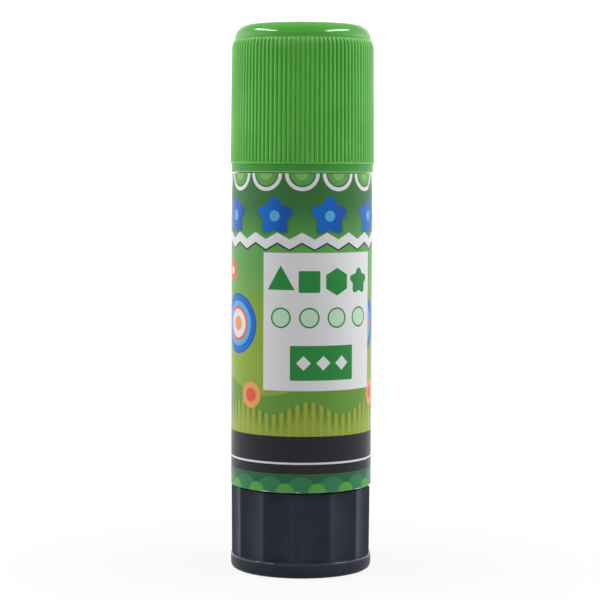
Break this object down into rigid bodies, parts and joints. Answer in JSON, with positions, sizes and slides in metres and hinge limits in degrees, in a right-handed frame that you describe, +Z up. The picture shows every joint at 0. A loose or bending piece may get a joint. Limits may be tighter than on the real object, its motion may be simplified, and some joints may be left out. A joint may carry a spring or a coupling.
{
  "type": "glue stick",
  "caption": "Twist-up glue stick with a ribbed push-on cap, a wrapped barrel and a fluted foot knob that drives a lead screw.",
  "frame": {"origin": "centre of the foot of the knob, on the surface that the stick stands on", "axes": "+Z up the stick's axis towards the cap, -Y towards the front of the label"},
  "size_m": [0.027, 0.027, 0.1023],
  "materials": {
    "cap": "semi-gloss moulded polypropylene",
    "barrel": "semi-gloss moulded polypropylene",
    "label": "glossy printed film",
    "knob": "satin moulded polypropylene",
    "inner_plastic": "natural satin polypropylene",
    "glue": "waxy semi-translucent adhesive"
  },
  "bodies": {
    "barrel": {"barrel": "barrel", "label": "label"},
    "knob": {"knob": "knob", "spindle": "inner_plastic"},
    "carrier": {"carrier": "inner_plastic", "glue": "glue"},
    "cap": {"cap": "cap"}
  },
  "joints": [
    {"name": "knob_turn", "type": "hinge", "parent": "barrel", "child": "knob", "pos_m": [0, 0, 0.0158], "axis": [0, 0, 1], "range_deg": [0, 3600]},
    {"name": "carrier_rise", "type": "slide", "parent": "barrel", "child": "carrier", "axis": [0, 0, 1], "range_m": [0, 0.06]},
    {"name": "cap_pull", "type": "slide", "parent": "carrier", "child": "cap", "axis": [0, 0, 1], "range_m": [0, 0.045]}
  ],
  "couplings": [
    {"joint": "carrier_rise", "follows": "knob_turn", "m_per_rad": 0.00095493}
  ]
}
